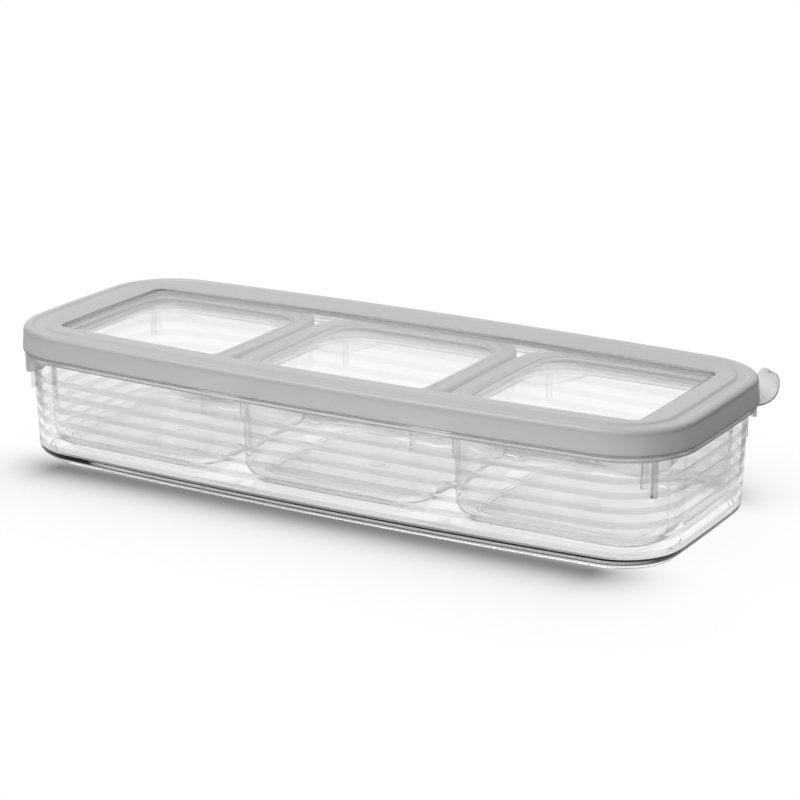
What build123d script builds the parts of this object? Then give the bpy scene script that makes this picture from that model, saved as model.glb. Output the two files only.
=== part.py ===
"""Freezer storage set: a long clear box with a framed lid that holds three square lidded milk boxes.

Millimetres. X runs along the box, Y across it, Z up. The origin is the middle of the footprint, on
the surface that the foot ring stands on. Every piece follows one kind of outline: four bowed sides
and four round corners, eight tangent arcs in all, pulled in parallel to itself by an inset.
"""
import os
from collections import namedtuple
from math import atan2, cos, degrees, hypot, radians, sin

from build123d import *

os.makedirs("parts", exist_ok=True)

# Milk boxes, measured at the lower edge of their lids
milk_half = 46.5            # half the side of a lid
milk_bow = 1.5              # how far the middle of each side stands out
milk_corner = 21.5          # corner radius
milk_lid_gap = 1.0          # between neighbouring lids
milk_wall = 1.7
milk_base = 1.9
milk_foot = 0.9             # height of the foot ring
milk_depth = 39.0           # inner floor to rim
milk_draft = 1.1            # how much further in the wall stands at the base
milk_edge = 7.0             # outer radius between wall and base
milk_collar = 4.7           # rim above the flange
milk_flange = 1.4
milk_flange_inset = 0.6
milk_tab_half = 15.5        # half the width of a thumb tab at the flange
milk_tab_drop = 4.8         # how far it hangs below the flange
milk_tab_wall = 1.2
milk_rib_drop = 10.0        # length of the corner ribs below the flange
milk_rib_turn = 0.0
gate_radius = 3.0           # moulding gate under each milk box
gate_height = 0.5

# Milk box lids
milk_skirt_wall = 1.3       # soft frame where it covers the edge
milk_seal_wall = 0.9        # hard skirt behind it
milk_lip = 0.6              # hard lip under the soft skirt
milk_plate = 1.2            # hard plate under the soft frame
milk_frame = 2.6            # soft frame above the plate
milk_frame_width = 8.8
milk_window_corner = 12.7
milk_shoulder = 1.4         # radius of the frame's outer top edge
milk_flare = 0.4            # how far the skirt's lower edge stands out past its top
milk_groove_start = 2.4     # shallow channel round the top of the frame
milk_groove_end = 5.6
milk_groove_depth = 0.5
milk_slope_start = 6.4      # where the frame starts to fall towards the window
milk_slope_drop = 0.7

# Outer box
side_room = 6.2             # milk lid to inner wall, at the middle of the long side
end_room = 1.7
corner_room = 2.7
side_bow = 5.6
end_bow = 1.2
wall = 2.1
base = 2.6
foot = 1.6
draft = 1.7
edge = 3.4
collar = 5.9
flange = 1.6
flange_inset = 0.8
tab_half = 17.0
tab_drop = 6.5
tab_wall = 1.4
rib_drop = 14.4
rib_turn = 3.8              # how far the ribs stand from the diagonal, towards the ends, in degrees

# Outer lid
skirt_wall = 1.9
seal_wall = 1.4
lip = 0.7
plate = 1.4
frame = 2.8
frame_width = 18.6
window_corner = 4.7
shoulder = 2.0
flare = 0.7
groove_start = 4.2
groove_end = 9.4
groove_depth = 0.7
slope_start = 11.0
slope_drop = 0.9
panel = 1.5                 # window panels of all lids
pull_reach = 8.9            # pull tab at one corner: how far it stands out
pull_radius = 17.3
pull_rise = 7.0
pull_wall = 1.3
pull_bow = 2.4              # how far its curl bows out under a straight line to the tip
pull_lean = 65.0            # slope at the tip, in degrees

# Both kinds of box
bands = 6                   # raised bands on the outer box
milk_bands = 0              # the walls of the milk boxes are plain
band_first = 6.6            # middle of the lowest raised band above the foot
band_pitch = 5.7
band_width = 2.6
band_proud = 0.45
rib_width = 2.2
rib_proud = 1.2
foot_width = 1.8            # foot ring along the sides
foot_corner_width = 4.0     # and at the corners
foot_corner_length = 34.0

# Clearances
seat_gap = 0.3              # under a lip, over a rim, under a milk box
stack_gap = 0.4             # milk lids to the outer lid's plate
slide_gap = 0.3             # rim to the hard skirt around it
mould_gap = 0.1             # between the hard and soft halves of one lid, on curved faces
window_lap = 1.5            # window panel over the edge of the plate
foot_gap = 0.4              # foot ring to the inner end of the rounded base edge
groove_side = 1.0           # width of a groove's sloping sides

Form = namedtuple("Form", "centre half_x half_y bow_x bow_y corner")
Tub = namedtuple("Tub", "form low foot base wall depth rim_inset draft edge collar flange "
                        "flange_inset tab_half tab_drop tab_wall rib_drop rib_turn bands")
Lid = namedtuple("Lid", "tub skirt_wall lip plate frame frame_width window_corner shoulder flare "
                        "groove_start groove_end groove_depth slope_start slope_drop")


def corner_centre(form, corner):
    """Centre of the corner arc that is tangent to the long side and to the end."""
    side_radius = (form.half_x ** 2 + form.bow_x ** 2) / (2 * form.bow_x)
    end_radius = (form.half_y ** 2 + form.bow_y ** 2) / (2 * form.bow_y)
    side_centre = form.half_y - side_radius
    end_centre = form.half_x - end_radius
    to_side = side_radius - corner
    to_end = end_radius - corner
    apart = hypot(end_centre, side_centre)
    along = (to_side ** 2 - to_end ** 2 + apart ** 2) / (2 * apart)
    across = (to_side ** 2 - along ** 2) ** 0.5
    ux, uy = end_centre / apart, -side_centre / apart
    x = along * ux + across * uy
    y = side_centre + along * uy - across * ux
    return x, y, side_radius, end_radius


def outline_arcs(form, inset, corner=None):
    """Centre, radius, start angle and sweep of the eight arcs, as a closed loop."""
    radius = form.corner - inset if corner is None else corner
    x, y, side_radius, end_radius = corner_centre(form, radius + inset)
    side_y = form.half_y - side_radius
    end_x = form.half_x - end_radius
    turn = degrees(atan2(y - side_y, x))
    low = degrees(atan2(y, x - end_x))
    return [
        ((end_x, 0), end_radius - inset, -low, 2 * low),
        ((x, y), radius, low, turn - low),
        ((0, side_y), side_radius - inset, turn, 180 - 2 * turn),
        ((-x, y), radius, 180 - turn, turn - low),
        ((-end_x, 0), end_radius - inset, 180 - low, 2 * low),
        ((-x, -y), radius, 180 + low, turn - low),
        ((0, -side_y), side_radius - inset, 180 + turn, 180 - 2 * turn),
        ((x, -y), radius, 360 - turn, turn - low),
    ]


def level(form, z):
    """Plane at height z over the middle of a piece."""
    return Plane(origin=(form.centre, 0, z))


def outline_face(form, z, inset, corner=None):
    """Face of the outline at height z, ready to extrude or loft."""
    with BuildSketch(level(form, z)) as outline:
        with BuildLine():
            for centre, radius, start, sweep in outline_arcs(form, inset, corner):
                CenterArc(centre, radius, start, sweep)
        make_face()
    return outline.sketch.face()


def prism(form, low, high, inset, corner=None, mode=Mode.ADD):
    """Upright block inside the outline."""
    extrude(outline_face(form, low, inset, corner), amount=high - low, mode=mode)


def taper(form, low, low_inset, high, high_inset, low_corner=None, high_corner=None, mode=Mode.ADD):
    """Block whose outline changes evenly from its lower to its upper edge."""
    lower = outline_face(form, low, low_inset, low_corner)
    upper = outline_face(form, high, high_inset, high_corner)
    loft([lower, upper], ruled=True, mode=mode)


def corner_plane(form, side_x, side_y, turn=0):
    """Upright plane through a corner's centre that faces out near the corner's diagonal."""
    x, y, side_radius, end_radius = corner_centre(form, form.corner)
    angle = radians(corner_angle(form) - turn)
    outward = (side_x * cos(angle), side_y * sin(angle), 0)
    return Plane(origin=(form.centre + side_x * x, side_y * y, 0),
                 x_dir=(-outward[1], outward[0], 0), z_dir=outward)


def corner_angle(form):
    """Direction of the corner's diagonal, in degrees from X."""
    centre, radius, start, sweep = outline_arcs(form, 0)[1]
    return start + sweep / 2


def wall_inset(tub, z):
    """Inset of the outside of the drafted wall at height z."""
    bottom = tub.low + tub.foot
    rim = bottom + tub.base + tub.depth
    return tub.rim_inset + tub.draft * (rim - z) / (rim - bottom)


def flange_top(tub):
    return tub.low + tub.foot + tub.base + tub.depth - tub.collar


def rim_top(tub):
    return flange_top(tub) + tub.collar


def thumb_tab(tub, side_x, side_y):
    """Thin tab that hangs from the flange round one corner, with a curved lower edge."""
    form = tub.form
    high = flange_top(tub)
    low = high - tub.flange - tub.tab_drop
    radius = (tub.tab_half ** 2 + tub.tab_drop ** 2) / (2 * tub.tab_drop)
    with BuildPart() as tab:
        prism(form, low - tub.flange, high, tub.flange_inset)
        prism(form, low - tub.flange, high - tub.flange, tub.flange_inset + tub.tab_wall, mode=Mode.SUBTRACT)
        with BuildSketch(corner_plane(form, side_x, side_y)):
            with Locations((0, low + radius)):
                Circle(radius)
        extrude(amount=2 * form.corner, mode=Mode.INTERSECT)
    return tab.part


def corner_rib(tub, side_x, side_y):
    """Upright rib on the outside of one corner, from the flange down."""
    form = tub.form
    high = flange_top(tub) - tub.flange / 2
    low = flange_top(tub) - tub.flange - tub.rib_drop
    reach = form.corner - wall_inset(tub, high) + rib_proud
    root = form.corner - wall_inset(tub, low) - tub.wall / 2
    with BuildPart() as rib:
        with BuildSketch(corner_plane(form, side_x, side_y, tub.rib_turn).offset(root)):
            with Locations((0, (low + high) / 2)):
                Rectangle(rib_width, high - low)
        extrude(amount=reach - root)
    return rib.part


def foot_ring(tub):
    """Ring under the base, wider at the corners."""
    form = tub.form
    top = tub.low + tub.foot + tub.base / 2
    outer = wall_inset(tub, tub.low) + tub.edge + foot_gap
    with BuildPart() as ring:
        prism(form, tub.low, top, outer)
        prism(form, tub.low, top, outer + foot_width, mode=Mode.SUBTRACT)
    with BuildPart() as corners:
        prism(form, tub.low, top, outer)
        prism(form, tub.low, top, outer + foot_corner_width, mode=Mode.SUBTRACT)
        with BuildSketch(level(form, tub.low)):
            with GridLocations(2 * form.half_x, 2 * form.half_y, 2, 2):
                Rectangle(2 * foot_corner_length, 2 * foot_corner_length)
        extrude(amount=top - tub.low, mode=Mode.INTERSECT)
    return ring.part, corners.part


def open_box(name, tub, tab_corners, gated):
    """Clear open box: drafted wall, rounded base edge, flange, rim, bands, ribs, tabs and foot."""
    form = tub.form
    bottom = tub.low + tub.foot
    floor = bottom + tub.base
    rim = rim_top(tub)
    trims = [thumb_tab(tub, x, y) for x, y in tab_corners]
    trims += [corner_rib(tub, x, y) for x in (-1, 1) for y in (-1, 1)]
    trims += foot_ring(tub)
    with BuildPart() as box:
        taper(form, bottom, wall_inset(tub, bottom), rim, tub.rim_inset)
        fillet(box.edges().group_by(Axis.Z)[0], tub.edge)
        for k in range(tub.bands):
            middle = tub.low + band_first + k * band_pitch
            low, high = middle - band_width / 2, middle + band_width / 2
            taper(form, low, wall_inset(tub, low) - band_proud, high, wall_inset(tub, high) - band_proud)
        prism(form, flange_top(tub) - tub.flange, flange_top(tub), tub.flange_inset)
        for trim in trims:
            add(trim)
        if gated:
            with BuildSketch(level(form, bottom - gate_height)):
                Circle(gate_radius)
            extrude(amount=gate_height + tub.base / 2)
    with BuildPart() as cavity:
        taper(form, floor, wall_inset(tub, floor) + tub.wall, rim, tub.rim_inset + tub.wall)
        fillet(cavity.edges().group_by(Axis.Z)[0], tub.edge - tub.wall)
    with BuildPart() as piece:
        add(box.part)
        add(cavity.part, mode=Mode.SUBTRACT)
    save(piece, name)


def lip_bottom(lid):
    return flange_top(lid.tub) + seat_gap


def plate_bottom(lid):
    return rim_top(lid.tub) + seat_gap


def plate_top(lid):
    return plate_bottom(lid) + lid.plate


def lid_top(lid):
    return plate_top(lid) + lid.frame


def pull_tab(lid):
    """Curled tab that stands out from the lip at one corner."""
    form = lid.tub.form
    x, y, side_radius, end_radius = corner_centre(form, form.corner)
    angle = radians(corner_angle(form))
    out_x, out_y = cos(angle), sin(angle)
    axis = (form.centre + x, y, 0)
    low = lip_bottom(lid)
    root = form.corner - lid.skirt_wall
    start = form.corner + mould_gap
    tip = form.corner + pull_reach
    tip_low = low + pull_rise
    lean = radians(pull_lean)
    upper_tip = (tip - pull_wall * sin(lean), tip_low + pull_wall * cos(lean))
    with BuildPart() as tab:
        with BuildSketch(Plane(origin=axis, x_dir=(out_x, out_y, 0), z_dir=(out_y, -out_x, 0))):
            with BuildLine():
                Line((root, low), (start, low))
                SagittaArc((start, low), (tip, tip_low), -pull_bow)
                Line((tip, tip_low), upper_tip)
                SagittaArc(upper_tip, (start, low + lid.lip), pull_bow)
                Polyline((start, low + lid.lip), (root, low + lid.lip), (root, low))
            make_face()
        revolve(axis=Axis(axis, (0, 0, 1)))
        middle = tip - pull_radius
        with BuildSketch(level(form, low)):
            with Locations((x + middle * out_x, y + middle * out_y)):
                Circle(pull_radius)
        extrude(amount=pull_rise + 2 * pull_wall, mode=Mode.INTERSECT)
    return tab.part


def hard_half(name, lid, pulled):
    """Clear half of a lid: lip, skirt round the rim, plate under the frame and window panel."""
    form = lid.tub.form
    outer = lid.skirt_wall + mould_gap
    inner = lid.tub.rim_inset - slide_gap
    low, bottom, top = lip_bottom(lid), plate_bottom(lid), plate_top(lid)
    lap = window_lap + mould_gap
    with BuildPart() as piece:
        prism(form, low, top, outer)
        prism(form, low, low + lid.lip, mould_gap)
        if pulled:
            add(pull_tab(lid))
        prism(form, low, bottom, inner, mode=Mode.SUBTRACT)
        prism(form, bottom, top, lid.frame_width + lap, lid.window_corner - lap, mode=Mode.SUBTRACT)
        prism(form, top, top + panel, lid.frame_width + mould_gap, lid.window_corner - mould_gap)
    save(piece, name)


def soft_half(name, lid):
    """Soft frame of a lid: flared skirt, round shoulder, channel, and a slope to the window."""
    form = lid.tub.form
    low, top = lip_bottom(lid) + lid.lip, lid_top(lid)
    bed = top - lid.groove_depth
    with BuildPart() as channel:
        taper(form, bed, lid.groove_start + groove_side, top, lid.groove_start)
        taper(form, bed, lid.groove_end - groove_side, top, lid.groove_end, mode=Mode.SUBTRACT)
    with BuildPart() as piece:
        taper(form, low, 0, top, lid.flare)
        fillet(piece.edges().group_by(Axis.Z)[-1], lid.shoulder)
        prism(form, low, plate_top(lid), lid.skirt_wall, mode=Mode.SUBTRACT)
        add(channel.part, mode=Mode.SUBTRACT)
        taper(form, top - lid.slope_drop, lid.frame_width, top, lid.slope_start,
              low_corner=lid.window_corner, mode=Mode.SUBTRACT)
        prism(form, plate_top(lid), top, lid.frame_width, lid.window_corner, mode=Mode.SUBTRACT)
    save(piece, name)


def save(piece, name):
    """Label a finished piece and write it."""
    piece.part.label = name
    export_step(piece.part, f"parts/{name}.step")


# Milk boxes stand on the floor of the outer box, in a row
milk_low = foot + base + seat_gap
milk_pitch = 2 * milk_half + milk_lid_gap
milk_rim_inset = milk_skirt_wall + mould_gap + milk_seal_wall + slide_gap
rim_inset = skirt_wall + mould_gap + seal_wall + slide_gap

for place, side in (("left", -1), ("middle", 0), ("right", 1)):
    milk_form = Form(side * milk_pitch, milk_half, milk_half, milk_bow, milk_bow, milk_corner)
    milk_tub = Tub(milk_form, milk_low, milk_foot, milk_base, milk_wall, milk_depth, milk_rim_inset,
                   milk_draft, milk_edge, milk_collar, milk_flange, milk_flange_inset, milk_tab_half,
                   milk_tab_drop, milk_tab_wall, milk_rib_drop, milk_rib_turn, milk_bands)
    milk_lid = Lid(milk_tub, milk_skirt_wall, milk_lip, milk_plate, milk_frame, milk_frame_width,
                   milk_window_corner, milk_shoulder, milk_flare, milk_groove_start, milk_groove_end,
                   milk_groove_depth, milk_slope_start, milk_slope_drop)
    open_box(f"milk_box_{place}", milk_tub, ((1, -1), (-1, 1)), gated=True)
    hard_half(f"milk_lid_window_{place}", milk_lid, pulled=False)
    soft_half(f"milk_lid_frame_{place}", milk_lid)

# The outer box is sized round the row of milk boxes, and its rim round their lids
inside = wall + rim_inset
half_length = milk_pitch + milk_half + end_room + inside
half_width = milk_half + side_room + inside
corner = milk_corner + corner_room + inside
depth = lid_top(milk_lid) + stack_gap - seat_gap - base - foot

form = Form(0, half_length, half_width, side_bow, end_bow, corner)
tub = Tub(form, 0, foot, base, wall, depth, rim_inset, draft, edge, collar, flange, flange_inset,
          tab_half, tab_drop, tab_wall, rib_drop, rib_turn, bands)
lid = Lid(tub, skirt_wall, lip, plate, frame, frame_width, window_corner, shoulder, flare,
          groove_start, groove_end, groove_depth, slope_start, slope_drop)
open_box("outer_box", tub, ((-1, -1), (1, 1)), gated=False)
hard_half("outer_lid_window", lid, pulled=True)
soft_half("outer_lid_frame", lid)

print("outer", half_length * 2, half_width * 2, lid_top(lid), "corner", corner, "depth", depth)
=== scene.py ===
# %% [markdown]
# A freezer storage set for breast milk: one long clear box under a framed lid, and three square lidded
# milk boxes that stand in it. Everything is moulded plastic. The boxes and the hard half of each lid are
# glass-clear, so most of the look comes from refraction, and each clear wall has to be a closed, smooth,
# thin solid. The soft frames of the lids are a translucent grey. The CAD model is loaded first, as the
# fixed frame that every piece is measured from.

# %% The CAD model as a fixed frame
from math import atan2, cos, degrees, hypot, pi, radians, sin, sqrt

import bmesh
import bpy
from mathutils import Matrix, Vector


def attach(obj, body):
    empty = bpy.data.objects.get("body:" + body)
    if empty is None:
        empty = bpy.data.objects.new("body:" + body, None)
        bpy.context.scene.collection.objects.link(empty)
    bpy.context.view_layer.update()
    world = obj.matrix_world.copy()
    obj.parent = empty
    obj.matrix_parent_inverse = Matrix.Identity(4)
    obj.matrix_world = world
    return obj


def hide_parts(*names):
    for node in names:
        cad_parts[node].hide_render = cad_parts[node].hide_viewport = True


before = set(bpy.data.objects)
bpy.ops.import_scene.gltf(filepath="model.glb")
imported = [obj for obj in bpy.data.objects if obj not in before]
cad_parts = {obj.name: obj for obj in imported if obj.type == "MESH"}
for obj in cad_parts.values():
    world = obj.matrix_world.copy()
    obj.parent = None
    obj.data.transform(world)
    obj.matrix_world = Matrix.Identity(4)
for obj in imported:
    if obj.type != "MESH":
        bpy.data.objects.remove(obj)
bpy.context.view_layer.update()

# %% [markdown]
# Sizes are written in millimetres, as on a moulding drawing, and turned to metres where a mesh is made.
# The four boxes and four lids share one kind of plan: four sides that bow out a little, and four round
# corners. It is described by half its length and width, the height of each bow, and the corner radius.

# %% The plans
MM = 0.001
milk_pitch = 94.0


def plan(half_x, half_y, bow_x, bow_y, corner, centre=0.0):
    """Sizes of one outline: bow_x is how far the long sides bow out, bow_y the ends."""
    return {
        "half_x": half_x, "half_y": half_y, "corner": corner, "centre": centre,
        "side_radius": (half_x ** 2 + bow_x ** 2) / (2 * bow_x),
        "end_radius": (half_y ** 2 + bow_y ** 2) / (2 * bow_y),
    }


outer = plan(148.0, 58.5, 5.6, 1.2, 30.0)
milk = {place: plan(46.5, 46.5, 1.5, 1.5, 21.5, row * milk_pitch)
        for place, row in (("left", -1), ("middle", 0), ("right", 1))}
for key in ("side_radius", "end_radius"):
    print(key, "of the long box", round(outer[key]), "mm")

# %% [markdown]
# A spline could draw such a plan, but here it is eight arcs that run into each other without a kink,
# because a parallel line inside it then has the same eight centres, and each radius is less by the inset.
# One small table of centres so serves every wall, rim and groove. A corner's centre lies where two
# circles cross, one about the centre of the side's arc and one about that of the end's.

# %% The eight arcs of a plan
END_STEPS, CORNER_STEPS, SIDE_STEPS = 8, 20, 18


def corner_centre(shape, corner):
    """Middle of the arc of that radius which is tangent to the long side and to the end."""
    side_y = shape["half_y"] - shape["side_radius"]
    end_x = shape["half_x"] - shape["end_radius"]
    to_side = shape["side_radius"] - corner
    to_end = shape["end_radius"] - corner
    apart = hypot(end_x, side_y)
    along = (to_side ** 2 - to_end ** 2 + apart ** 2) / (2 * apart)
    across = sqrt(to_side ** 2 - along ** 2)
    return (along * end_x - across * side_y) / apart, side_y - (along * side_y + across * end_x) / apart


def plan_arcs(shape, corner):
    """Centre, sweep in radians and step count of the eight arcs, from the right end round."""
    x, y = corner_centre(shape, corner)
    side_y = shape["half_y"] - shape["side_radius"]
    end_x = shape["half_x"] - shape["end_radius"]
    low, turn = atan2(y, x - end_x), atan2(y - side_y, x)
    end, quarter, side = (2 * low, END_STEPS), (turn - low, CORNER_STEPS), (pi - 2 * turn, SIDE_STEPS)
    return [
        ((end_x, 0), *end), ((x, y), *quarter), ((0, side_y), *side), ((-x, y), *quarter),
        ((-end_x, 0), *end), ((-x, -y), *quarter), ((0, -side_y), *side), ((x, -y), *quarter),
    ]


print("sweeps of end, corner and side",
      [round(degrees(sweep), 1) for _, sweep, _ in plan_arcs(outer, outer["corner"])[:3]], "degrees")

# %% [markdown]
# A moulded wall is easiest to draw as its cross-section: a wire of a few points, each given by how far
# inside the plan it lies, its height, and the rounding of the wire there. A vertex bevel rounds it. Then
# eight spins in a row, one about each arc's centre, carry the wire round the plan, as a lathe does with a
# single centre. An outline could be extruded upwards instead, but then each rounding would be many loops,
# and a spun section keeps every wall exactly as thick as it is drawn.

# %% Sweep a cross-section round a plan
lip_round, crease_round, edge_round, rim_round = 0.1, 0.2, 0.3, 0.45
ROUND_SEGMENTS = 4


def section_wire(bm, shape, points):
    """Wire of (inset, height, rounding) in the upright plane where the first arc starts."""
    (end_x, _), sweep, _ = plan_arcs(shape, shape["corner"])[0]
    out_x, out_y = cos(sweep / 2), -sin(sweep / 2)
    verts = []
    for inset, height, _ in points:
        reach = shape["end_radius"] - inset
        verts.append(bm.verts.new(((end_x + reach * out_x) * MM, reach * out_y * MM, height * MM)))
    for low, high in zip(verts, verts[1:]):
        bm.edges.new((low, high))
    for vert, (_, _, rounding) in zip(verts, points):
        if rounding:
            bmesh.ops.bevel(bm, geom=[vert], offset=rounding * MM, offset_type="OFFSET", affect="VERTICES",
                            segments=ROUND_SEGMENTS, profile=0.5, material=-1)


def sweep_section(shape, points):
    """Surface that the wire makes on its way round all eight arcs, with its seam closed."""
    bm = bmesh.new()
    section_wire(bm, shape, points)
    start = list(bm.verts)
    wire = start + list(bm.edges)
    for (x, y), sweep, steps in plan_arcs(shape, shape["corner"]):
        wire = bmesh.ops.spin(bm, geom=wire, cent=(x * MM, y * MM, 0), axis=(0, 0, 1), dvec=(0, 0, 0),
                              angle=sweep, steps=steps, use_duplicate=False)["geom_last"]
    end = [v for v in wire if isinstance(v, bmesh.types.BMVert)]
    bmesh.ops.weld_verts(bm, targetmap={v: min(start, key=lambda s: (s.co - v.co).length) for v in end})
    return bm


print("roundings in mm: lip", lip_round, "crease", crease_round, "edge", edge_round, "rim", rim_round)

# %% [markdown]
# The window in a lid has tighter corners than the frame round it, so its edge isn't parallel to the rest
# and the spun wire can't reach it. There the open rim of the swept part is extruded, and each point of
# the new loop goes to the matching point of a plan with another corner radius. Bridging two loops would
# do as well, but this keeps one point for each step. Floors and panels are one flat face in such a loop.

# %% Carry an open rim to another plan, close it and round it
same_level = 1e-7
hair = 0.02
EDGE_SEGMENTS = 3


def plan_points(shape, inset, corner=None):
    """Points of the plan at that inset, in millimetres, one for each step of the eight arcs."""
    outer_corner = shape["corner"] if corner is None else corner + inset
    radii = [shape["end_radius"], outer_corner, shape["side_radius"], outer_corner] * 2
    arcs = plan_arcs(shape, outer_corner)
    turn, points = -arcs[0][1] / 2, []
    for ((x, y), sweep, steps), radius in zip(arcs, radii):
        for step in range(steps):
            angle = turn + sweep * step / steps
            points.append(Vector((x + (radius - inset) * cos(angle), y + (radius - inset) * sin(angle))))
        turn += sweep
    return points


def level_with(vert, height):
    """Whether a point of the mesh is at that height, in millimetres."""
    return abs(vert.co.z - height * MM) < same_level


def open_rim(bm, height, inset):
    """Edges of the open rim at that height, with the inset and the corner that they were made with."""
    edges = [e for e in bm.edges if e.is_boundary and all(level_with(v, height) for v in e.verts)]
    return edges, inset, None


def carry(bm, shape, rim, inset, height, corner):
    """Extrude an open rim and set its new loop on the plan at another inset, height and corner."""
    edges, old_inset, old_corner = rim
    old, new = plan_points(shape, old_inset, old_corner), plan_points(shape, inset, corner)
    drawn = bmesh.ops.extrude_edge_only(bm, edges=edges)["geom"]
    verts = [v for v in drawn if isinstance(v, bmesh.types.BMVert)]
    for vert in verts:
        spot = vert.co.xy / MM
        nearest = min(range(len(old)), key=lambda n: (old[n] - spot).length_squared)
        vert.co = (new[nearest].x * MM, new[nearest].y * MM, height * MM)
    new_verts = set(verts)
    loop = [e for v in verts for e in v.link_edges if e.other_vert(v) in new_verts]
    return list(dict.fromkeys(loop)), inset, corner


def cap(bm, rim):
    """One flat face in an open rim."""
    bmesh.ops.contextual_create(bm, geom=rim[0])


def round_edges(bm, edges, size, segments=EDGE_SEGMENTS):
    """Round edges over by a size in millimetres."""
    bmesh.ops.bevel(bm, geom=edges, offset=size * MM, offset_type="OFFSET", affect="EDGES",
                    segments=segments, profile=0.5, material=-1)


print("points round a plan", len(plan_points(outer, 0)))

# %% [markdown]
# Every piece ends the same way. It is shifted to its place in the row, its normals are made to point out,
# and it is shaded smooth, with weighted normals so that broad flat faces stay flat beside their small
# rounded edges. Then it is parented to an empty for the body that it moves with, and the CAD part of the
# same name is hidden. Recalculated normals can all point in on a thin folded shell, which turns clear
# plastic into a white slab, and a negative volume gives that away.

# %% Finish a piece
SHARP_ANGLE = 30
CUBIC_CM = 1e6


def finish_piece(bm, name, body, materials, shape):
    """Turn bm into an object that rides on a body and stands for the CAD node of the same name."""
    bmesh.ops.translate(bm, vec=(shape["centre"] * MM, 0, 0), verts=bm.verts)
    bmesh.ops.recalc_face_normals(bm, faces=bm.faces)
    if bm.calc_volume(signed=True) < 0:
        bmesh.ops.reverse_faces(bm, faces=bm.faces)
    volume = bm.calc_volume(signed=True) * CUBIC_CM
    open_edges = sum(1 for e in bm.edges if not e.is_manifold)
    mesh = bpy.data.meshes.new(name)
    bm.to_mesh(mesh)
    bm.free()
    mesh.shade_smooth()
    mesh.set_sharp_from_angle(angle=radians(SHARP_ANGLE))
    for material in materials:
        mesh.materials.append(material)
    piece = bpy.data.objects.new(name, mesh)
    bpy.context.scene.collection.objects.link(piece)
    weighted = piece.modifiers.new("weighted_normals", "WEIGHTED_NORMAL")
    weighted.keep_sharp = True
    node = name
    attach(piece, body)
    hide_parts(node)
    print(f"{name}: {len(mesh.polygons)} faces, {open_edges} open edges, {volume:.2f} cubic centimetres")
    return piece


print("edges sharper than", SHARP_ANGLE, "degrees stay sharp")

# %% [markdown]
# A shader graph is easier to read when one small function adds each node with all its inputs, and colours
# are easier to compare when they are written as sRGB hex and turned to linear in one place. Moulded and
# etched surfaces are never quite flat, so each finish here gets its relief from a noise bump.

# %% Material helpers
def linear(hex_colour):
    """sRGB hex to a linear RGBA tuple."""
    channels = [int(hex_colour[i:i + 2], 16) / 255 for i in (1, 3, 5)]
    return tuple(c / 12.92 if c <= 0.04045 else ((c + 0.055) / 1.055) ** 2.4 for c in channels) + (1.0,)


def new_material(name):
    """Material with an empty shader graph."""
    material = bpy.data.materials.new(name)
    material.use_nodes = True
    material.node_tree.nodes.clear()
    return material


def add_node(material, kind, inputs=None, **settings):
    """Adds one node: settings are its properties, and inputs maps its sockets to values or to outputs."""
    node = material.node_tree.nodes.new(kind)
    for key, value in settings.items():
        setattr(node, key, value)
    for key, source in (inputs or {}).items():
        if isinstance(source, bpy.types.NodeSocket):
            material.node_tree.links.new(source, node.inputs[key])
        else:
            node.inputs[key].default_value = source
    return node


def relief(material, scale, detail, strength, depth):
    """Bumped normals from noise: scale is in cells to a metre, and depth in metres."""
    place = add_node(material, "ShaderNodeTexCoord")
    noise = add_node(material, "ShaderNodeTexNoise",
                     {"Vector": place.outputs["Object"], "Scale": scale, "Detail": detail})
    bump = add_node(material, "ShaderNodeBump",
                    {"Height": noise.outputs["Fac"], "Strength": strength, "Distance": depth})
    return bump.outputs["Normal"]


print("mid grey #808080 is", round(linear("#808080")[0], 3), "linear")

# %% [markdown]
# The boxes and the hard halves of the lids are clear copolyester, a usual resin for things that hold a
# baby's milk, moulded against polished steel. It is glossy and colourless, and its refractive index is
# near 1.5. Where it is seen edge-on its colour is painted darker, as painted shade for the dark edges
# that clear walls show. A moulded sheet carries a long, very shallow ripple, here 40 mm from crest to
# crest, which bends the view through it a little. A Glass shader could do this, but the other finishes of
# the set need Principled, and one kind of shader is easier to compare.

# %% Polished clear plastic
plastic_index = 1.5
ripple_scale = 1000 / 40
# Painted shade: seen edge-on, the colour of the clear plastic darkens to this level.
edge_start, edge_painted_shade = 0.76, 0.2


def clear_plastic(name):
    """Polished and colourless, with a faint ripple, and painted shade that darkens it near edge-on."""
    material = new_material(name)
    facing = add_node(material, "ShaderNodeLayerWeight", {"Blend": 0.5})
    # The base colour is darkened towards edge-on, as painted shade.
    painted_edge_shade = add_node(material, "ShaderNodeMapRange", {
        "Value": facing.outputs["Facing"], "From Min": edge_start, "From Max": 1.0,
        "To Min": 1.0, "To Max": edge_painted_shade})
    ripple = relief(material, ripple_scale, detail=1.0, strength=0.07, depth=0.0004)
    plastic = add_node(material, "ShaderNodeBsdfPrincipled", {
        "Base Color": painted_edge_shade.outputs["Result"], "Normal": ripple,
        "Roughness": 0.015, "IOR": plastic_index, "Transmission Weight": 1.0})
    add_node(material, "ShaderNodeOutputMaterial", {"Surface": plastic.outputs["BSDF"]})
    return material


clear = clear_plastic("polished_clear_copolyester")
print(clear.name, "with", len(clear.node_tree.nodes), "nodes")

# %% [markdown]
# The mould is etched where the box is gripped and on the underside of the milk boxes. The same plastic
# comes out of it with a fine grain, so it scatters the light and looks a little milky. Real etching is too
# fine to show, so its grain is drawn at 0.4 mm. Thin edges, the flange and the pull tab are satin: there
# the plastic is rougher still, and part of the light comes back instead of going through.

# %% Etched and satin clear plastic
etched_scale = 1000 / 0.4


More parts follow.
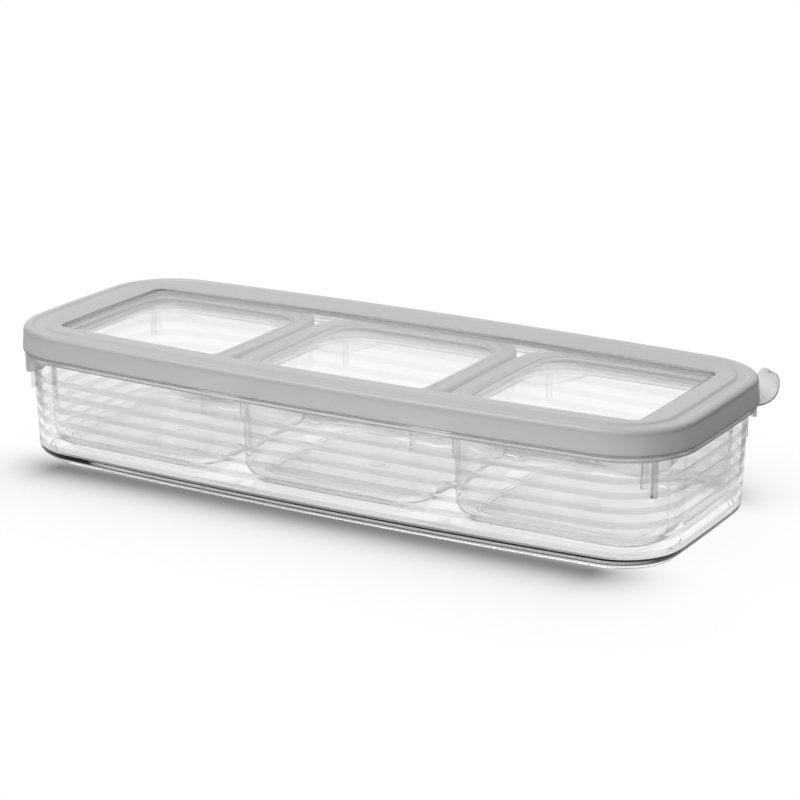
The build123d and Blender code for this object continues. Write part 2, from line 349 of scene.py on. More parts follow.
def etched_plastic(name, tint, roughness, see_through):
    """The clear plastic with a fine grain; see_through is the share of light that it lets pass."""
    material = new_material(name)
    grain = relief(material, etched_scale, detail=2.0, strength=0.2, depth=0.0001)
    plastic = add_node(material, "ShaderNodeBsdfPrincipled", {
        "Base Color": linear(tint), "Normal": grain,
        "Roughness": roughness, "IOR": plastic_index, "Transmission Weight": see_through})
    add_node(material, "ShaderNodeOutputMaterial", {"Surface": plastic.outputs["BSDF"]})
    return material


etched = etched_plastic("etched_band_copolyester", "#DFDFDF", 0.12, 1.0)
etched_base = etched_plastic("etched_base_copolyester", "#F6F6F6", 0.16, 1.0)
satin = etched_plastic("satin_edge_copolyester", "#F2F2F2", 0.25, 0.68)
print("etched and satin", [material.name for material in (etched, etched_base, satin)])

# %% [markdown]
# The frames are a soft elastomer, moulded over the hard half of the lid so that it seals and grips. It is
# translucent and satin, with a grain of a third of a millimetre, and its tint drifts slowly over some
# 55 mm, as thick and thin places do. Subsurface scattering would be the deeper way, but the frames are
# thin, and a share of plain transmission lets the boxes below show through them. The frames of the small
# lids get a paler copy of it, painted light that makes up for the light the long lid keeps off them.

# %% Soft frame plastic
soft_scale = 1000 * 3
drift_scale = 18.0


def soft_plastic(name, darker, lighter, see_through):
    """Satin translucent elastomer with a fine grain and a slow drift between two tints."""
    material = new_material(name)
    place = add_node(material, "ShaderNodeTexCoord")
    drift = add_node(material, "ShaderNodeTexNoise",
                     {"Vector": place.outputs["Object"], "Scale": drift_scale, "Detail": 2.0})
    tint = add_node(material, "ShaderNodeMix", {
        "Factor": drift.outputs["Fac"], "A": linear(darker), "B": linear(lighter)}, data_type="RGBA")
    grain = relief(material, soft_scale, detail=2.0, strength=0.12, depth=0.0001)
    plastic = add_node(material, "ShaderNodeBsdfPrincipled", {
        "Base Color": tint.outputs["Result"], "Normal": grain,
        "Roughness": 0.34, "IOR": plastic_index, "Transmission Weight": see_through})
    add_node(material, "ShaderNodeOutputMaterial", {"Surface": plastic.outputs["BSDF"]})
    return material


soft = soft_plastic("satin_elastomer", "#D8D8D9", "#DEDEDF", 0.48)
# Paler copy of the frame plastic for the small lids, painted light for the shade under the long lid.
soft_painted_light = soft_plastic("satin_elastomer_painted_light", "#FAFAFA", "#FFFFFF", 0.6)
print("soft", [material.name for material in (soft, soft_painted_light)])

# %% [markdown]
# Both kinds of box are one design in two sizes. A box stands on a foot ring under its bottom. Its walls
# lean out a little, so that it leaves the mould, and the long box has six raised bands to grip. The lid
# sits on a flange, round a rim that stands up from it. Two opposite corners have a thumb tab. Heights are
# from the table, and insets from the plan inwards, which is the outer edge of the lid's skirt.

# %% Sizes of the boxes
outer_tub = {
    "shape": outer, "low": 0.0, "bottom": 1.6, "floor": 4.2, "wall": 2.1, "rim": 50.5, "rim_inset": 3.7,
    "draft": 1.7, "edge": 3.4, "flange": (43.0, 44.6), "flange_inset": 0.8, "bands": 6,
    "tab_half": 17.0, "tab_drop": 6.5, "tab_wall": 1.4, "rib_low": 28.6, "rib_turn": 3.8,
    "tabs": ((-1, -1), (1, 1)),
}
milk_tubs = {place: {
    "shape": shape, "low": 4.5, "bottom": 5.4, "floor": 7.3, "wall": 1.7, "rim": 46.3, "rim_inset": 2.6,
    "draft": 1.1, "edge": 7.0, "flange": (40.2, 41.6), "flange_inset": 0.6, "bands": 0,
    "tab_half": 15.5, "tab_drop": 4.8, "tab_wall": 1.2, "rib_low": 30.2, "rib_turn": 0.0,
    "tabs": ((1, -1), (-1, 1)),
} for place, shape in milk.items()}
band_first, band_pitch, band_width, band_proud = 6.6, 5.7, 2.6, 0.06
band_shoulder, band_round, band_room = 0.8, 0.7, 0.05
foot_gap, foot_width, foot_flat = 0.4, 1.8, 2.0
BASE_STEPS = 14


def wall_inset(tub, height):
    """Inset of the outside of the drafted wall at that height."""
    return tub["rim_inset"] + tub["draft"] * (tub["rim"] - height) / (tub["rim"] - tub["bottom"])


def base_inset(tub, height):
    """Inset of the outside where the rounded base edge runs into the wall."""
    short = max(0.0, tub["bottom"] + tub["edge"] - height)
    return wall_inset(tub, height) + tub["edge"] - sqrt(tub["edge"] ** 2 - short ** 2)


def band_heights(tub):
    """Lower and upper height of each raised band."""
    middles = [tub["low"] + band_first + k * band_pitch for k in range(tub["bands"])]
    return [(middle - band_width / 2, middle + band_width / 2) for middle in middles]


print("raised bands of the long box", [round(low, 1) for low, _ in band_heights(outer_tub)], "mm up")

# %% [markdown]
# The section of a box runs from the middle of the underside over the foot ring, round the base edge, up
# the wall with its bands, out and back round the flange, over the rim and down the inside to the floor.
# The base edge gets many small steps, because light that enters there is bent the most. The points where
# a tab will hang from the flange stay unrounded, so that the tab starts from a clean strip of faces.

# %% Section of a box
def underside(tub):
    """Points from the flat underside over the foot ring and round the base edge."""
    low, bottom, edge = tub["low"], tub["bottom"], tub["edge"]
    foot = wall_inset(tub, low) + edge + foot_gap
    inner = foot + foot_width
    plain_to = band_heights(tub)[0][0] - band_room if tub["bands"] else tub["rim"]
    points = [(inner + foot_flat, bottom, 0), (inner, bottom, crease_round), (inner, low, edge_round),
              (foot, low, edge_round), (foot, bottom, crease_round)]
    for step in range(BASE_STEPS + 1):
        turn = radians(90 * step / BASE_STEPS)
        height = bottom + edge * (1 - cos(turn))
        if height < plain_to:
            points.append((wall_inset(tub, height) + edge * (1 - sin(turn)), height, 0))
    return points


def grip_bands(tub):
    """Points of the raised bands, each with a shoulder below and above."""
    points = []
    for low, high in band_heights(tub):
        points += [(base_inset(tub, low), low, crease_round),
                   (wall_inset(tub, low) - band_proud, low + band_shoulder, band_round),
                   (wall_inset(tub, high) - band_proud, high - band_shoulder, band_round),
                   (wall_inset(tub, high), high, crease_round)]
    return points


def flange_and_inside(tub):
    """Points round the flange, over the rim and down the inside to the floor."""
    (low, high), inset, wall = tub["flange"], tub["flange_inset"], tub["wall"]
    floor, rim, rim_inset = tub["floor"], tub["rim"], tub["rim_inset"]
    inside = wall_inset(tub, floor) + wall
    return [
        (wall_inset(tub, low), low, edge_round), (inset + tub["tab_wall"], low, 0), (inset, low, 0),
        (inset, high, edge_round), (wall_inset(tub, high), high, edge_round),
        (rim_inset, rim, rim_round), (rim_inset + wall, rim, rim_round),
        (inside, floor, tub["edge"] - wall), (inside + tub["edge"], floor, 0),
    ]


def box_section(tub):
    """The whole section, from the middle of the underside to the middle of the floor."""
    return underside(tub) + grip_bands(tub) + flange_and_inside(tub)


for kind, tub in (("long box", outer_tub), ("milk box", milk_tubs["middle"])):
    print("section of the", kind, "has", len(box_section(tub)), "points")

# %% [markdown]
# A thumb tab droops from the flange at a corner, to push the lid up against. It could be a piece of its
# own, but clear plastic shows every inner face, so it is drawn down out of the flange: a strip of faces
# under it is extruded, and the new lower edge is set to a shallow arc. Its lower edge is satin, and its
# two faces are etched. Faces carry the number of their material slot: in a box, 0 is polished and these
# two numbers are the other finishes.

# %% Thumb tabs
ETCHED, SATIN = 1, 2


def diagonal(shape, side_x, side_y, turn=0):
    """Centre of a corner's arc and the direction of its middle, less that many degrees."""
    x, y = corner_centre(shape, shape["corner"])
    arcs = plan_arcs(shape, shape["corner"])
    middle = arcs[0][1] / 2 + arcs[1][1] / 2 - radians(turn)
    return Vector((side_x * x, side_y * y)), Vector((side_x * cos(middle), side_y * sin(middle)))


def corner_place(spot, centre, out):
    """Distance from the corner's centre, across the direction out, and along it, in millimetres."""
    away = Vector((spot.x, spot.y)) / MM - centre
    return away.length, away.x * -out.y + away.y * out.x, away.dot(out)


def draw_out(bm, strip):
    """Extrude a strip of faces and drop the faces it started from."""
    drawn = bmesh.ops.extrude_face_region(bm, geom=strip)["geom"]
    bmesh.ops.delete(bm, geom=strip, context="FACES")
    return drawn


def thumb_tab(bm, tub, side_x, side_y):
    """Tab under the flange at one corner, drawn out of the outer strip of the flange's underside."""
    centre, out = diagonal(tub["shape"], side_x, side_y)
    half, drop, high = tub["tab_half"], tub["tab_drop"], tub["flange"][0]
    radius = (half ** 2 + drop ** 2) / (2 * drop)
    far = tub["shape"]["corner"] - tub["flange_inset"]
    strip = []
    for face in bm.faces:
        middle = face.calc_center_median()
        reach, side, ahead = corner_place(middle, centre, out)
        on_strip = all(level_with(v, high) for v in face.verts) and far - tub["tab_wall"] < reach < far
        if on_strip and abs(side) < half and ahead > 0:
            strip.append(face)
    drawn = draw_out(bm, strip)
    for vert in (v for v in drawn if isinstance(v, bmesh.types.BMVert)):
        for face in vert.link_faces:
            face.material_index = SATIN if face in drawn else ETCHED
        side = min(abs(corner_place(vert.co, centre, out)[1]), half)
        vert.co.z = min(high - hair, high - drop + radius - sqrt(radius ** 2 - side ** 2)) * MM


print("thumb tab of the long box:", 2 * outer_tub["tab_half"], "mm wide,", outer_tub["tab_drop"], "mm deep")

# %% [markdown]
# At each corner a slim upright rib runs down from the flange. Such ribs keep empty boxes from jamming when
# one is pushed into another. A rib is a small bar with its two front edges rounded, etched as the bands
# are. It stands a hair off the wall as a closed body of its own, because clear bodies that cut into each
# other make false inner faces.

# %% Corner ribs
rib_width, rib_proud, rib_round = 2.2, 1.2, 0.4
RIB_SEGMENTS = 2


def add_body(bm, body):
    """Put a closed body of its own into bm."""
    mesh = bpy.data.meshes.new("body")
    body.to_mesh(mesh)
    body.free()
    bm.from_mesh(mesh)
    bpy.data.meshes.remove(mesh)


def corner_rib(bm, tub, side_x, side_y):
    """Upright bar on the outside of one corner, from just under the flange down."""
    centre, out = diagonal(tub["shape"], side_x, side_y, tub["rib_turn"])
    across = Vector((-out.y, out.x))
    corner, low, high = tub["shape"]["corner"], tub["rib_low"], tub["flange"][0] - hair
    off_wall = band_proud + hair if tub["bands"] else hair
    front = corner - wall_inset(tub, high) + rib_proud
    bar = bmesh.new()
    bmesh.ops.create_cube(bar, size=1.0)
    for vert in bar.verts:
        height = high if vert.co.z > 0 else low
        reach = corner - wall_inset(tub, height) + off_wall if vert.co.x < 0 else front
        place = centre + out * reach + across * rib_width * vert.co.y
        vert.co = (place.x * MM, place.y * MM, height * MM)
    front_edges = [e for e in bar.edges if abs(e.verts[0].co.z - e.verts[1].co.z) > MM
                   and all(corner_place(v.co, centre, out)[0] > front - rib_proud / 2 for v in e.verts)]
    round_edges(bar, front_edges, rib_round, RIB_SEGMENTS)
    for face in bar.faces:
        face.material_index = ETCHED
    add_body(bm, bar)


print("ribs", rib_width, "mm wide, standing", rib_proud, "mm out")

# %% [markdown]
# Now the boxes themselves: the swept section, two flat faces for the underside and the floor, then the
# tabs and ribs. A face's finish is found by its height and by which way it looks: the outside of a band
# is etched, the flange is satin, and so is nothing inside. The milk boxes have no bands. Their rounded
# undersides are etched, and in the middle each has a round gate mark, where the plastic entered the mould.

# %% Build the boxes
gate_radius, gate_height, GATE_SEGMENTS = 3.0, 0.5, 48
upright, downward, base_reach, flange_reach = 0.7, -0.2, 4, 0.1


def mark_finishes(bm, tub, gated):
    """Give each face the number of its finish."""
    for face in bm.faces:
        middle = face.calc_center_median()
        height = middle.z / MM
        outward = face.normal.x * middle.x + face.normal.y * middle.y > 0
        if outward and abs(face.normal.z) < upright and any(a < height < b for a, b in band_heights(tub)):
            face.material_index = ETCHED
        if gated and face.normal.z < downward and tub["low"] < height < tub["floor"] + base_reach:
            face.material_index = ETCHED
        if tub["flange"][0] - flange_reach < height < tub["flange"][1] + flange_reach:
            face.material_index = SATIN


def gate_mark(bm, tub):
    """Low round disc, a hair under the middle of the underside."""
    place = Matrix.Translation((0, 0, (tub["bottom"] - hair - gate_height / 2) * MM))
    bmesh.ops.create_cone(bm, cap_ends=True, segments=GATE_SEGMENTS, radius1=gate_radius * MM,
                          radius2=gate_radius * MM, depth=gate_height * MM, matrix=place)


def open_box(name, tub, body, gated):
    """One clear box with its bands, tabs and ribs, and the gate mark if it is gated."""
    bm = sweep_section(tub["shape"], box_section(tub))
    for height in (tub["bottom"], tub["floor"]):
        cap(bm, open_rim(bm, height, 0))
    bmesh.ops.recalc_face_normals(bm, faces=bm.faces)
    mark_finishes(bm, tub, gated)
    for side_x, side_y in tub["tabs"]:
        thumb_tab(bm, tub, side_x, side_y)
    for side_x in (-1, 1):
        for side_y in (-1, 1):
            corner_rib(bm, tub, side_x, side_y)
    if gated:
        gate_mark(bm, tub)
    finishes = [clear, etched_base if gated else etched, satin]
    return finish_piece(bm, name, body, finishes, tub["shape"])


open_box("outer_box", outer_tub, "outer_box", gated=False)
for place, tub in milk_tubs.items():
    open_box(f"milk_box_{place}", tub, f"milk_box_{place}_body", gated=True)

# %% [markdown]
# A lid has two halves. The hard half is clear: a thin lip that rests on the flange, a skirt round the
# rim, a plate over it, and the window panel that stands on the plate. The soft half is the grey frame: it
# covers the skirt and the shoulder, has a shallow channel all round, and slopes in to the window. Both
# are drawn from one table of sizes, so that they stay a hair apart wherever they meet.

# %% Sizes of the lids
outer_lid = {
    "shape": outer, "low": 44.9, "lip": 0.7, "skirt": 1.9, "seal_inset": 3.4, "plate": (50.8, 52.2),
    "top": 55.0, "panel": 1.5, "ring": 17.0, "width": 18.6, "corner": 4.7, "flare": 0.7, "shoulder": 2.0,
    "groove": (4.2, 9.4, 0.7), "groove_side": 1.0, "slope_start": 11.0, "slope_drop": 0.9,
    "soft": soft,
}
milk_lids = {place: {
    "shape": shape, "low": 41.9, "lip": 0.6, "skirt": 1.3, "seal_inset": 2.3, "plate": (46.6, 47.8),
    "top": 50.4, "panel": 1.5, "ring": 7.3, "width": 8.8, "corner": 12.7, "flare": 0.4, "shoulder": 1.4,
    "groove": (2.4, 5.6, 0.5), "groove_side": 0.6, "slope_start": 6.4, "slope_drop": 0.7,
    # The small frames take the paler copy, painted light for the shade under the long lid.
    "soft": soft_painted_light,
} for place, shape in milk.items()}
fit, panel_wall, panel_round, window_round = 0.1, 1.6, 0.35, 0.4
print("window of the long lid", 2 * (outer["half_x"] - outer_lid["width"]), "by",
      2 * (outer["half_y"] - outer_lid["width"]), "mm")

# %% [markdown]
# The long lid has a curled tab at one corner, to pull it off by. Seen from above its outline is round, and
# seen from the side it curls up along a bowed line from its root in the lip to its tip. Two small
# functions hold these two views: how far the tab reaches in each direction, and where a point of the
# bowed line lies. The line is a parabola, whose middle stands off its chord by the bow.

# %% Shape of the pull tab
pull_reach, pull_rise, pull_radius, pull_wall = 8.9, 7.0, 17.3, 1.3
pull_bow, pull_lean, PULL_RINGS = 2.4, 65, 9


def tab_share(start, tip, side, ahead):
    """How much of the full reach the round outline of the tab leaves in that direction."""
    turn, middle = atan2(side, ahead), tip - pull_radius
    inside = pull_radius ** 2 - (middle * sin(turn)) ** 2
    edge = middle * cos(turn) + sqrt(inside) if inside > 0 and ahead > 0 else 0
    return min(1.0, max(0.0, (edge - start) / (tip - start)))


def tab_spot(root, end, reach, ring):
    """Reach and height of a point on the bowed line from root to end, when it ends at that reach."""
    chord = end - root
    bulge = Vector((chord.y, -chord.x)).normalized() * 4 * pull_bow
    slope = chord.x + bulge.x
    past = min(chord.x, reach)
    along = (slope - sqrt(slope ** 2 - 4 * bulge.x * past)) / (2 * bulge.x) * ring / PULL_RINGS
    return root + chord * along + bulge * along * (1 - along)


for turn in (0, 20, 40):
    share = tab_share(outer["corner"], outer["corner"] + pull_reach, sin(radians(turn)), cos(radians(turn)))
    print("reach", turn, "degrees off the corner's diagonal:", round(share * pull_reach, 1), "mm")

# %% [markdown]
# On the real lid the tab grows out of the thin lip, so here it does too: the outer faces of the lip are
# drawn out ring by ring. A loft between outlines could make it as a body of its own, but then clear
# plastic would show the joint. The lower and the upper edge of the lip follow two bowed lines, a wall's
# thickness apart at the tip, so each point first learns which of the two it belongs to.

# %% Pull tab
least_share, strip_share, strip_room, UPRIGHT_FACE = 0.003, 0.02, 0.05, 0.2


def pull_tab(bm, lid):
    """Curled tab drawn out of the outer faces of the lip at one corner, ring by ring."""
    centre, out = diagonal(lid["shape"], 1, 1)
    low, lip, lean = lid["low"], lid["lip"], radians(pull_lean)
    start, tip = lid["shape"]["corner"] - fit, lid["shape"]["corner"] + pull_reach
    roots = Vector((start, low)), Vector((start, low + lip))
    ends = (Vector((tip, low + pull_rise)),
            Vector((tip - pull_wall * sin(lean), low + pull_rise + pull_wall * cos(lean))))
    strip = []
    for face in bm.faces:
        middle = face.calc_center_median()
        reach, side, ahead = corner_place(middle, centre, out)
        on_lip = low * MM < middle.z < (low + lip) * MM and abs(face.normal.z) < UPRIGHT_FACE
        if on_lip and reach > start - strip_room and tab_share(start, tip, side, ahead) > strip_share:
            strip.append(face)
    is_upper = bm.verts.layers.int.new("upper")
    for vert in {v for face in strip for v in face.verts}:
        vert[is_upper] = vert.co.z > (low + lip / 2) * MM
    for ring in range(1, PULL_RINGS + 1):
        drawn = draw_out(bm, strip)
        strip = [f for f in drawn if isinstance(f, bmesh.types.BMFace)]
        for vert in (v for v in drawn if isinstance(v, bmesh.types.BMVert)):
            _, side, ahead = corner_place(vert.co, centre, out)
            away = (Vector((vert.co.x, vert.co.y)) / MM - centre).normalized()
            share = max(least_share, tab_share(start, tip, side, ahead))
            spot = tab_spot(roots[vert[is_upper]], ends[vert[is_upper]], share * (tip - start), ring)
            vert.co = ((centre.x + away.x * spot.x) * MM, (centre.y + away.y * spot.x) * MM, spot.y * MM)


print("pull tab reaches", pull_reach, "mm out of the corner and rises", pull_rise, "mm")

# %% [markdown]
# The hard half is swept as far in as the plan stays parallel. From there its upper and lower rims are
# carried to the window's edge and up, which leaves a panel of even thickness that stands higher than the
# plate. The outside of the thin lip is satin, as a cut edge is; polished, it would show as a hard dark
# line under the frame.

# %% Hard halves
SATIN_LIP = 1


def hard_half(name, lid, body, pulled=False):
    """Lip, skirt, plate and window panel of a lid, and its pull tab where it has one."""
    shape, low, ring, width, corner = (lid[key] for key in ("shape", "low", "ring", "width", "corner"))
    (bottom, top), lip, seal, skirt = lid["plate"], low + lid["lip"], lid["seal_inset"], lid["skirt"] + fit
    bm = sweep_section(shape, [
        (ring, top, 0), (skirt, top, crease_round), (skirt, lip, lip_round), (fit, lip, lip_round),
        (fit, low, lip_round), (seal, low, crease_round), (seal, bottom, edge_round), (ring, bottom, 0)])
    foot = carry(bm, shape, open_rim(bm, top, ring), width + fit, top, corner - fit)
    panel = carry(bm, shape, foot, width + fit, top + lid["panel"], corner - fit)
    step = carry(bm, shape, open_rim(bm, bottom, ring), width + panel_wall, bottom, corner - panel_wall)
    ceiling = carry(bm, shape, step, width + panel_wall, top, corner - panel_wall)
    cap(bm, panel)
    cap(bm, ceiling)
    round_edges(bm, panel[0], panel_round)
    bmesh.ops.recalc_face_normals(bm, faces=bm.faces)
    for face in bm.faces:
        middle = face.calc_center_median()
        outward = face.normal.x * middle.x + face.normal.y * middle.y > 0
        if outward and abs(face.normal.z) < upright and middle.z < lip * MM:
            face.material_index = SATIN_LIP
    if pulled:
        pull_tab(bm, lid)
    return finish_piece(bm, name, body, [clear, satin], shape)


print("window panels stand", outer_lid["panel"], "mm above the plate")

# %% [markdown]
# The soft half is swept from the start of its inward slope over the channel and the shoulder, down the
# flared skirt and back in under it. Then its rim is carried down the slope to the window's edge, down to
# the plate and out again to where the sweep ended, where the two loops of points are merged. The window's
# edge is rounded last, when it is a sharp ring between two surfaces.

# %% Soft halves, and all the lids
def soft_half(name, lid, body):
    """Soft frame of a lid, over its skirt and shoulder and down to its window."""
    shape, ring, width, corner = (lid[key] for key in ("shape", "ring", "width", "corner"))
    low, bed, top, skirt = lid["low"] + lid["lip"], lid["plate"][1], lid["top"], lid["skirt"]
    (groove_start, groove_end, depth), side = lid["groove"], lid["groove_side"]
    bm = sweep_section(shape, [
        (lid["slope_start"], top, 0), (groove_end, top, rim_round),
        (groove_end - side, top - depth, rim_round), (groove_start + side, top - depth, rim_round),
        (groove_start, top, rim_round), (lid["flare"], top, lid["shoulder"]), (0.0, low, edge_round),
        (skirt, low, lip_round), (skirt, bed, crease_round), (ring, bed, 0)])
    edge = carry(bm, shape, open_rim(bm, top, lid["slope_start"]), width, top - lid["slope_drop"], corner)
    foot = carry(bm, shape, edge, width, bed, corner)
    carry(bm, shape, foot, ring, bed, None)
    bmesh.ops.remove_doubles(bm, verts=[v for v in bm.verts if level_with(v, bed)], dist=hair * MM)
    round_edges(bm, [e for e in edge[0] if e.is_valid], window_round)
    return finish_piece(bm, name, body, [lid["soft"]], shape)


hard_half("outer_lid_window", outer_lid, "outer_lid", pulled=True)
soft_half("outer_lid_frame", outer_lid, "outer_lid")
for place, lid in milk_lids.items():
    hard_half(f"milk_lid_window_{place}", lid, f"milk_lid_{place}")
    soft_half(f"milk_lid_frame_{place}", lid, f"milk_lid_{place}")

# %% [markdown]
# The set stands in a white studio. Clear plastic is only what is seen through it and in it, so everything
# round it has to be white to look at. More light would wash out the frames, so the floor and the room
# tell two kinds of light apart: what reaches the camera, straight or through clear and shiny pieces, and
# what lights the object, which stays at a plain level.

# %% Studio helpers
white, no_light = "#FFFFFF", "#000000"


def stage_sheet(name, size, place, turn, material):
    """Flat rectangle that belongs to the studio and not to the object."""
    bm = bmesh.new()
    bmesh.ops.create_grid(bm, x_segments=1, y_segments=1, size=0.5)
    bmesh.ops.scale(bm, vec=(size[0], size[1], 1), verts=bm.verts)
    mesh = bpy.data.meshes.new(name)
    bm.to_mesh(mesh)
    bm.free()
    mesh.materials.append(material)
    sheet = bpy.data.objects.new(name, mesh)
    sheet.location = place
    sheet.rotation_euler = turn
    bpy.context.scene.collection.objects.link(sheet)
    return sheet


def looked_at(material):
    """1 where a ray comes from the camera, straight or through clear and shiny pieces, and 0 otherwise."""
    path = add_node(material, "ShaderNodeLightPath")
    seen = path.outputs["Is Camera Ray"]
    for kind in ("Is Glossy Ray", "Is Transmission Ray"):
        either = add_node(material, "ShaderNodeMath", {0: seen, 1: path.outputs[kind]}, operation="MAXIMUM")
        seen = either.outputs[0]
    direct = add_node(material, "ShaderNodeMath", {0: path.outputs["Diffuse Depth"], 1: 0.5},
                      operation="LESS_THAN")
    both = add_node(material, "ShaderNodeMath", {0: seen, 1: direct.outputs[0]}, operation="MULTIPLY")
    return both.outputs[0]


print("white and no light are", linear(white)[0], "and", linear(no_light)[0])

# %% [markdown]
# A box this clear lets so much light through that its own shadow is faint, yet a real one still darkens
# the table close round its foot. So a soft contact shadow is painted on the floor: the distance to the
# rounded outline of the foot goes through a ramp of grey levels. It is weaker past the two ends than along
# the sides. A texture file could hold it, but nodes need no file and stay smooth at any distance.

# %% Contact shadow
foot_half_x, foot_half_y, foot_corner = 0.1387, 0.0492, 0.0207
shadow_start, shadow_end = -20, 100
end_from, end_white = 0.05, 0.97
shadow_levels = [(-20, 1.0), (-9, 0.98), (-2, 0.2), (3, 0.25), (6, 0.31), (10, 0.47), (14, 0.62),
                 (19, 0.76), (25, 0.87), (34, 0.93), (52, 0.97), (80, 1.0)]


def foot_distance(material):
    """How far a floor point lies past the straight part of the foot outline: by length, and in all."""
    place = add_node(material, "ShaderNodeTexCoord")
    split = add_node(material, "ShaderNodeSeparateXYZ", {"Vector": place.outputs["Object"]})
    past = []
    for axis, half in (("X", foot_half_x), ("Y", foot_half_y)):
        size = add_node(material, "ShaderNodeMath", {0: split.outputs[axis]}, operation="ABSOLUTE")
        beyond = add_node(material, "ShaderNodeMath", {0: size.outputs[0], 1: half - foot_corner},
                          operation="SUBTRACT")
        clipped = add_node(material, "ShaderNodeMath", {0: beyond.outputs[0], 1: 0.0}, operation="MAXIMUM")
        past.append(clipped.outputs[0])
    joined = add_node(material, "ShaderNodeCombineXYZ", {"X": past[0], "Y": past[1]})
    length = add_node(material, "ShaderNodeVectorMath", {0: joined.outputs[0]}, operation="LENGTH")
    return past[0], length.outputs["Value"]


def contact_shadow(material):
    """Colour of the painted shadow, from white far away to dark grey at the foot."""
    endwards, distance = foot_distance(material)
    span = add_node(material, "ShaderNodeMapRange", {
        "Value": distance, "From Min": foot_corner + shadow_start * MM,
        "From Max": foot_corner + shadow_end * MM})
    shadow = add_node(material, "ShaderNodeValToRGB", {"Fac": span.outputs["Result"]})
    ramp = shadow.color_ramp
    ramp.interpolation = "B_SPLINE"
    while len(ramp.elements) < len(shadow_levels):
        ramp.elements.new(0.5)
    for element, (away, level) in zip(ramp.elements, shadow_levels):
        element.position = (away - shadow_start) / (shadow_end - shadow_start)
        element.color = (level, level, level, 1)
    endwise = add_node(material, "ShaderNodeMath", {0: endwards, 1: distance}, operation="DIVIDE")
    weak = add_node(material, "ShaderNodeMapRange", {
        "Value": endwise.outputs[0], "From Min": end_from, "To Max": end_white})
    shade = add_node(material, "ShaderNodeMix", {
        "Factor": weak.outputs["Result"], "A": shadow.outputs["Color"], "B": linear(white)},
        data_type="RGBA")
    return shade.outputs["Result"]


print("the shadow ends", shadow_levels[-1][0], "mm from the foot")

# %% [markdown]
# The floor is one large plain sheet, a little under the set. Most of what is seen of it is its own even
# white, and the rest is white paint that takes the light and the real shadow. The contact shadow colours
# both.

# %% Floor
floor_glow, floor_tint, floor_drop = 0.97, "#F6F6F6", 0.0002


def floor_paint(name):
    """White paint that shows its own even white to the camera, with the contact shadow in both."""
    material = new_material(name)
    shade = contact_shadow(material)
    share = add_node(material, "ShaderNodeMath", {0: looked_at(material), 1: floor_glow},
                     operation="MULTIPLY")
    tint = add_node(material, "ShaderNodeMix", {
        "Factor": shade, "A": linear(no_light), "B": linear(floor_tint)}, data_type="RGBA")
    paint = add_node(material, "ShaderNodeBsdfDiffuse", {"Color": tint.outputs["Result"]})
    glow = add_node(material, "ShaderNodeEmission", {"Color": shade, "Strength": 1.0})
    both = add_node(material, "ShaderNodeMixShader", {
        0: share.outputs[0], 1: paint.outputs["BSDF"], 2: glow.outputs["Emission"]})
    add_node(material, "ShaderNodeOutputMaterial", {"Surface": both.outputs["Shader"]})
    return material


floor = stage_sheet("floor", (8.0, 8.0), (0, 0, -floor_drop), (0, 0, 0), floor_paint("white_floor_paint"))
print("floor", tuple(floor.dimensions.xy), "m, with", len(floor.active_material.node_tree.nodes), "nodes")

# %% [markdown]
# Clear plastic in an all-white room is hardly there: its edges bend the view far sideways, and find white
# there too. A product studio sets dark cards beside the view for this, and the edges find those. Two
# black cards stand left and right, and two grey ones lie on the floor just out of view, for the gentler
# greys in the base and the walls.

# %% Cards
def card_cloth(name, tint):
    """Plain matt cloth."""
    material = new_material(name)
    cloth = add_node(material, "ShaderNodeBsdfDiffuse", {"Color": linear(tint)})
    add_node(material, "ShaderNodeOutputMaterial", {"Surface": cloth.outputs["BSDF"]})
    return material


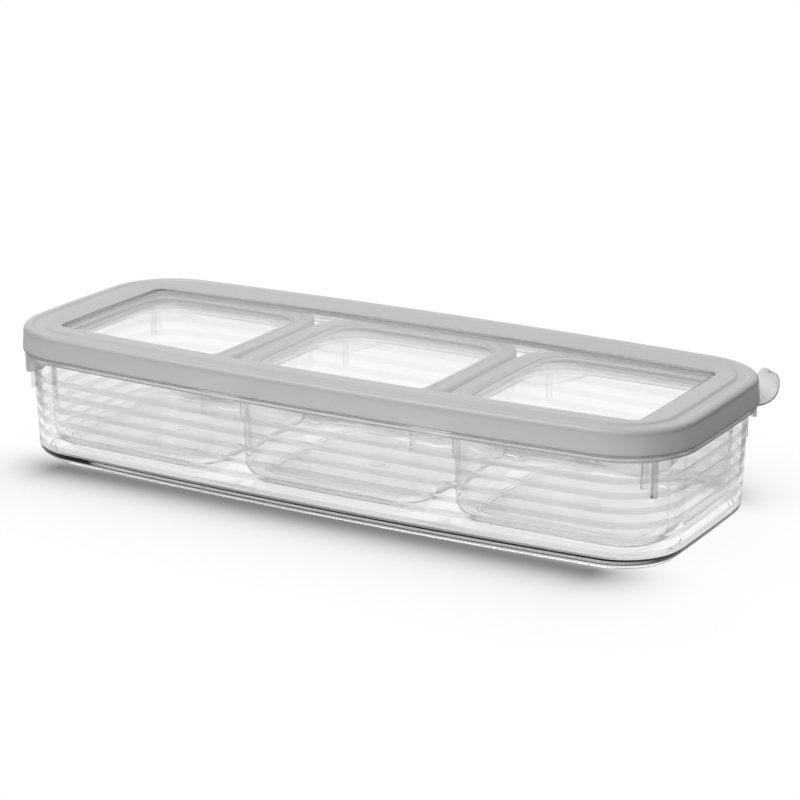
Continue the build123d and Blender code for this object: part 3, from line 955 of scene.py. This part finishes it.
black, grey = card_cloth("black_cloth", "#0A0A0A"), card_cloth("grey_cloth", "#B4B4B4")
cards = [stage_sheet(*card) for card in (
    ("card_right", (0.38, 1.8), (0.5, 0.5, 0.2), (0, radians(90), 0), black),
    ("card_left", (0.4, 0.5), (-0.5, -0.15, 0.21), (0, radians(90), 0), black),
    ("low_card_right", (0.4, 0.8), (0.2979, 0.2511, 0.0005), (0, 0, radians(21.3)), grey),
    ("low_card_left", (0.2, 0.6), (-0.2891, -0.0671, 0.0005), (0, 0, radians(38.6)), grey),
)]
print("cards", [card.name for card in cards])

# %% [markdown]
# The white room itself gives most of the light, and one large soft lamp from the upper left gives the
# frames their form. Light has to pass many clear walls, one behind the other, before it reaches the
# floor, so it is allowed more bounces than usual. Fewer would leave black spots in the boxes.

# %% Room and lamp
room_light = 0.95
CLEAR_BOUNCES = 32


def stand_and_aim(thing, place, target):
    """Put a lamp or the camera at a place and turn it towards the target."""
    thing.location = place
    thing.rotation_euler = (Vector(target) - Vector(place)).to_track_quat("-Z", "Y").to_euler()
    bpy.context.scene.collection.objects.link(thing)


room = bpy.data.worlds.new("white_room")
room.use_nodes = True
room.node_tree.nodes.clear()
level = add_node(room, "ShaderNodeMapRange", {
    "Value": looked_at(room), "To Min": room_light, "To Max": 1.0})
sky = add_node(room, "ShaderNodeBackground", {"Color": linear(white), "Strength": level.outputs["Result"]})
add_node(room, "ShaderNodeOutputWorld", {"Surface": sky.outputs["Background"]})
bpy.context.scene.world = room

lamp_data = bpy.data.lights.new("key", "AREA")
lamp_data.shape = "RECTANGLE"
lamp_data.size, lamp_data.size_y = 1.0, 0.8
lamp_data.energy = 9.0
stand_and_aim(bpy.data.objects.new("key", lamp_data), (-0.4, -0.4, 1.15), (0, 0, 0.02))
bpy.context.scene.cycles.max_bounces = CLEAR_BOUNCES
bpy.context.scene.cycles.transmission_bounces = CLEAR_BOUNCES
print("room light", room_light, "and lamp", lamp_data.energy, "W")

# %% [markdown]
# The camera stands about a metre away, a third of the way round from the front to the end and a little
# above. The lens is long, so that the far end of the box hardly shrinks, and there is no depth of field,
# so that every edge of the clear walls stays sharp.

# %% Camera
camera_data = bpy.data.cameras.new("camera")
camera_data.lens = 113.5
camera_data.sensor_width = 36.0
camera = bpy.data.objects.new("camera", camera_data)
stand_and_aim(camera, (0.4819, -0.8195, 0.3224), (0.00992, 0.0, 0.03434))
bpy.context.scene.camera = camera
bpy.context.scene.view_settings.view_transform = "Standard"
print("camera", round(camera.location.length, 3), "m from the middle of the set")
